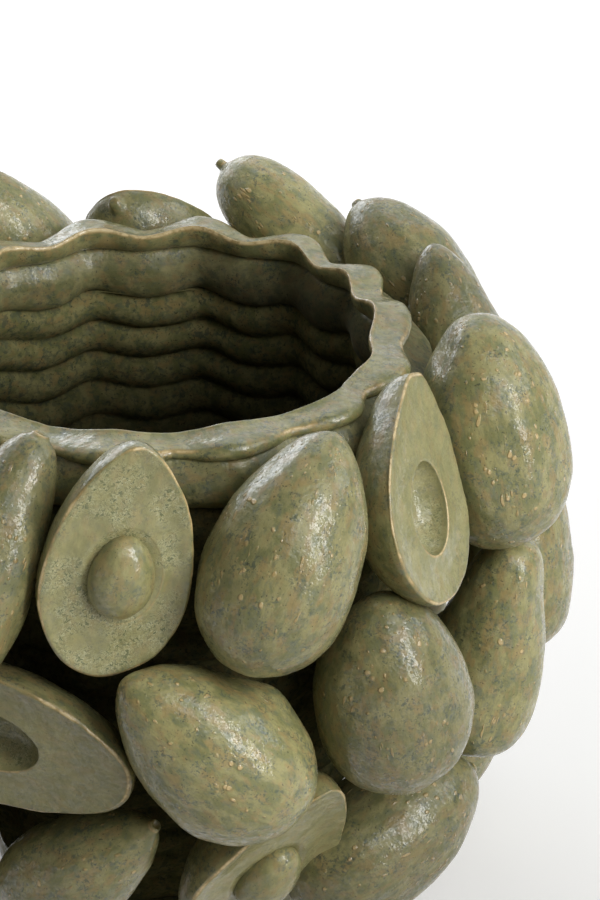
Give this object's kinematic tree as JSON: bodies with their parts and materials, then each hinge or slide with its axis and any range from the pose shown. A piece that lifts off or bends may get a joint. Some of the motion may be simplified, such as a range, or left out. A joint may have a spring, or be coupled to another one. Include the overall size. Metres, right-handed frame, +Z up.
{
  "type": "avocado vase",
  "caption": "Round stoneware vase built of coils, with a wavy rim and an outside covered in moulded whole and halved avocados under an olive glaze.",
  "frame": {"origin": "middle of the flat foot, on the table", "axes": "+Z up through the middle of the mouth, -Y towards the front as pictured, +X to the right seen from the front"},
  "size_m": [0.385, 0.3792, 0.2955],
  "materials": {
    "pot_glaze": "satin",
    "skin_glaze": "satin",
    "flesh_glaze": "satin",
    "pit_glaze": "satin"
  },
  "bodies": {
    "root": {"base_slab": "pot_glaze", "coil_wall": "pot_glaze", "collar_coil": "pot_glaze", "rim_coil": "pot_glaze", "top_01_whole": "skin_glaze", "top_02_half": "flesh_glaze", "top_02_pit": "pit_glaze", "top_03_whole": "skin_glaze", "top_04_half": "flesh_glaze", "top_05_whole": "skin_glaze", "top_06_whole": "skin_glaze", "top_07_whole": "skin_glaze", "top_08_whole": "skin_glaze", "top_09_half": "flesh_glaze", "top_09_pit": "pit_glaze", "top_10_whole": "skin_glaze", "top_11_half": "flesh_glaze", "top_12_whole": "skin_glaze", "top_13_half": "flesh_glaze", "top_13_pit": "pit_glaze", "top_14_whole": "skin_glaze", "middle_01_half": "flesh_glaze", "middle_02_whole": "skin_glaze", "middle_03_whole": "skin_glaze", "middle_04_whole": "skin_glaze", "middle_05_whole": "skin_glaze", "middle_06_whole": "skin_glaze", "middle_07_half": "flesh_glaze", "middle_07_pit": "pit_glaze", "middle_08_whole": "skin_glaze", "middle_09_whole": "skin_glaze", "middle_10_half": "flesh_glaze", "middle_11_whole": "skin_glaze", "middle_12_whole": "skin_glaze", "middle_13_whole": "skin_glaze", "bottom_01_whole": "skin_glaze", "bottom_02_half": "flesh_glaze", "bottom_02_pit": "pit_glaze", "bottom_03_whole": "skin_glaze", "bottom_04_whole": "skin_glaze", "bottom_05_whole": "skin_glaze", "bottom_06_half": "flesh_glaze", "bottom_07_whole": "skin_glaze", "bottom_08_whole": "skin_glaze", "bottom_09_half": "flesh_glaze", "bottom_09_pit": "pit_glaze", "bottom_10_whole": "skin_glaze"}
  },
  "joints": []
}
